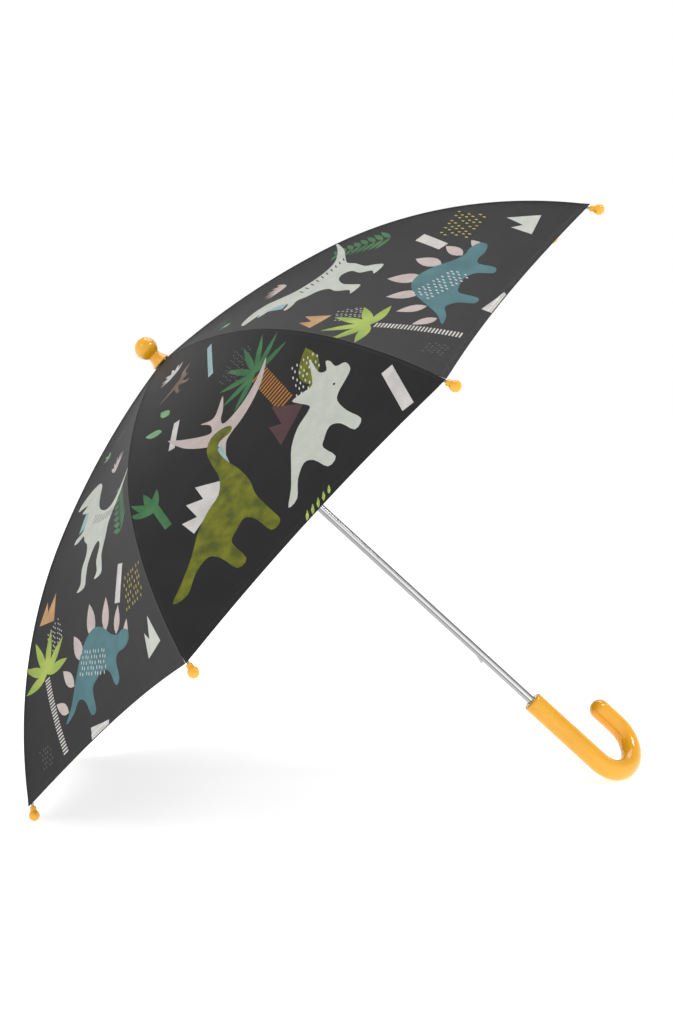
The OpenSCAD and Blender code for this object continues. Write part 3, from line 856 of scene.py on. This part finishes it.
def moulding(name, rings, body, node, sides=56, turned_in=False):
    """A smooth piece through rings: each is a centre, two directions across it and a radius.

    turned_in says that the rings run against the cross product of their two directions."""
    points = []
    for centre, u, v, r in rings:
        turns = (math.tau * i / sides for i in range(sides))
        points += [centre + u * (r * math.cos(t)) + v * (r * math.sin(t)) for t in turns]
    faces = []
    for row in range(len(rings) - 1):
        for i in range(sides):
            a, b = row * sides + i, row * sides + (i + 1) % sides
            faces.append((a, b, b + sides, a + sides))
    faces += [tuple(reversed(range(sides))), tuple(range(len(points) - sides, len(points)))]
    mesh = bpy.data.meshes.new(name)
    if turned_in:
        faces = [f[::-1] for f in faces]
    mesh.from_pydata(points, [], faces)
    mesh.shade_smooth()
    mesh.materials.append(orange)
    piece = bpy.data.objects.new(name, mesh)
    bpy.context.scene.collection.objects.link(piece)
    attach(piece, body)
    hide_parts(node)
    return piece


def dome(centre, u, v, way, r, start=0.0, n=14):
    """Rings that close a round end of radius r, from the angle start up to its pole."""
    angles = [start + (math.pi / 2 - start) * (i / n) for i in range(n + 1)]
    return [(centre + way * (r * math.sin(a)), u, v, max(1e-5, r * math.cos(a))) for a in angles]


def add_handle():
    out = aim(math.cos(HOOK_TURN), math.sin(HOOK_TURN), 0)
    flat = aim(-math.sin(HOOK_TURN), math.cos(HOOK_TURN), 0)
    rings = []
    rim = ((0.004, 0.0041), (0.0, 0.0045), (0.0, 0.0078), (0.0003, 0.0089), (0.0009, 0.0096),
           (0.0018, GRIP_R))
    for drop, r in rim:
        rings.append((place(0, 0, COLLAR - drop), out, flat, r))
    bend = COLLAR - GRIP_LEN
    rings += [(place(0, 0, COLLAR + (bend - COLLAR) * i / 12), out, flat, GRIP_R) for i in range(1, 12)]
    for i in range(37):
        turn = math.pi * i / 36
        sideways = out * (HOOK_R * (1 - math.cos(turn)))
        centre = place(0, 0, bend) + sideways - shaft_up * (HOOK_R * math.sin(turn))
        rings.append((centre, out * math.cos(turn) + shaft_up * math.sin(turn), flat, GRIP_R))
    end = place(0, 0, bend + HOOK_ARM) + out * (2 * HOOK_R)
    rings += dome(end, -out, flat, shaft_up, GRIP_R)
    return moulding("handle_moulding", rings, "core", "handle", turned_in=True)


def add_finial():
    u, v = aim(1, 0, 0), aim(0, 1, 0)
    profile = [(0.0010, FOOT_R - 0.0006), (0.0012, FOOT_R - 0.0001),
               (0.0017, FOOT_R), (0.0022, FOOT_R - 0.0002)]
    waist = BALL_Z - math.sqrt(BALL_R ** 2 - STEM_R ** 2)
    for i in range(1, 15):
        t = i / 15
        flare = (FOOT_R - STEM_R) * (1 - t) ** 2.4
        profile.append((0.0022 + (waist - 0.0022) * t, STEM_R + flare))
    rings = [(place(0, 0, z), u, v, r) for z, r in profile]
    rings += dome(place(0, 0, BALL_Z), u, v, shaft_up, BALL_R, start=-math.acos(STEM_R / BALL_R), n=26)
    return moulding("finial_moulding", rings, "core", "finial")


def add_tip(k):
    """A ball on a short neck around the end of rib k."""
    s = INNER_RIB + OUTER_RIB
    r, z = seam(k, s, 0.0)
    slope, turn = slope_at(k, s), rib_angle(k)
    centre = place(r * math.cos(turn), r * math.sin(turn), z)
    way = aim(math.cos(slope) * math.cos(turn), math.cos(slope) * math.sin(turn), -math.sin(slope))
    v = aim(-math.sin(turn), math.cos(turn), 0)
    u = v.cross(way)
    join = math.sqrt(TIP_R ** 2 - NECK_R ** 2)
    profile = [(NECK_LEN, NECK_R - 0.0005), (NECK_LEN - 0.0001, NECK_R - 0.0002),
               (NECK_LEN - 0.0004, NECK_R)]
    profile += [(join + 0.0009, NECK_R), (join + 0.0003, NECK_R + 0.0002)]
    rings = [(centre - way * back, u, v, r) for back, r in profile]
    rings += dome(centre, u, v, way, TIP_R, start=-math.acos((NECK_R + 0.0005) / TIP_R), n=22)
    return moulding(f"tip_moulding_{k}", rings, f"tip_arm_{k}", f"tip_{k}", sides=32)


add_handle()
add_finial()
for k in range(1, RIBS + 1):
    add_tip(k)

# ---------------------------------------------------------------- floor, light and camera


def add_floor():
    """A white floor that glows a little, as a lit studio table does, so that shadows stay faint."""
    side = 40.0
    mesh = bpy.data.meshes.new("floor")
    corners = [(-side, -side, 0), (side, -side, 0), (side, side, 0), (-side, side, 0)]
    mesh.from_pydata(corners, [], [(0, 1, 2, 3)])
    floor = bpy.data.objects.new("floor", mesh)
    bpy.context.scene.collection.objects.link(floor)
    material, tree, shader = new_material("floor_paint")
    tint = ramp(tree, noise_at(tree, 3.0), [(0.3, (0.88,) * 3), (0.7, (0.9,) * 3)])
    tree.links.new(tint, shader.inputs["Base Color"])
    shader.inputs["Roughness"].default_value = 0.85
    shader.inputs["Specular IOR Level"].default_value = 0.1
    shader.inputs["Emission Color"].default_value = (1, 1, 1, 1)
    shader.inputs["Emission Strength"].default_value = 0.6
    mesh.materials.append(material)


def add_light(name, place_at, target, size, power):
    lamp = bpy.data.lights.new(name, "AREA")
    lamp.shape = "SQUARE"
    lamp.size = size
    lamp.energy = power
    thing = bpy.data.objects.new(name, lamp)
    bpy.context.scene.collection.objects.link(thing)
    thing.location = place_at
    thing.rotation_euler = (Vector(target) - Vector(place_at)).to_track_quat("-Z", "Y").to_euler()


def add_world():
    """A white studio: bright all round at the object's height, and dimmer overhead between the lamps."""
    world = bpy.data.worlds.new("studio")
    bpy.context.scene.world = world
    world.use_nodes = True
    tree = world.node_tree
    way = add_node(tree, "ShaderNodeTexCoord").outputs["Generated"]
    height = add_node(tree, "ShaderNodeSeparateXYZ", {"Vector": way}).outputs["Z"]
    greys = ((0.0, 1.0), (0.36, 1.0), (0.55, 0.42), (1.0, 0.42))
    tint = ramp(tree, height, [(position, (grey,) * 3) for position, grey in greys])
    tree.links.new(tint, tree.nodes["Background"].inputs["Color"])
    tree.nodes["Background"].inputs["Strength"].default_value = 1.0


CAMERA_AT = (-0.0539, 1.835, -0.1144)      # in the umbrella's own frame
CAMERA_BACK = (-0.0265, 0.9981, 0.0557)
CAMERA_UP = (-0.7371, -0.0571, 0.6734)


def add_camera():
    """The camera stands 1.8 m in front of the umbrella, near its apex's height, and looks slightly down."""
    lens = bpy.data.cameras.new("camera")
    lens.lens = 68.1
    lens.sensor_width = 36
    camera = bpy.data.objects.new("camera", lens)
    bpy.context.scene.collection.objects.link(camera)
    back = aim(*CAMERA_BACK).normalized()
    right = aim(*CAMERA_UP).cross(back).normalized()
    turned_to = Matrix((right, back.cross(right), back)).transposed().to_4x4()
    camera.matrix_world = Matrix.Translation(place(*CAMERA_AT)) @ turned_to
    bpy.context.scene.camera = camera


add_floor()
add_world()
add_light("key", (1.3, -0.7, 2.0), (0.1, 0, 0.15), 0.55, 12)
add_light("side", (-1.5, -1.1, 1.6), (-0.1, 0, 0.25), 0.7, 3)
add_light("top", (0.1, 0.7, 2.3), (0, 0, 0.2), 1.6, 16)
add_camera()
bpy.context.scene.view_settings.view_transform = "Standard"
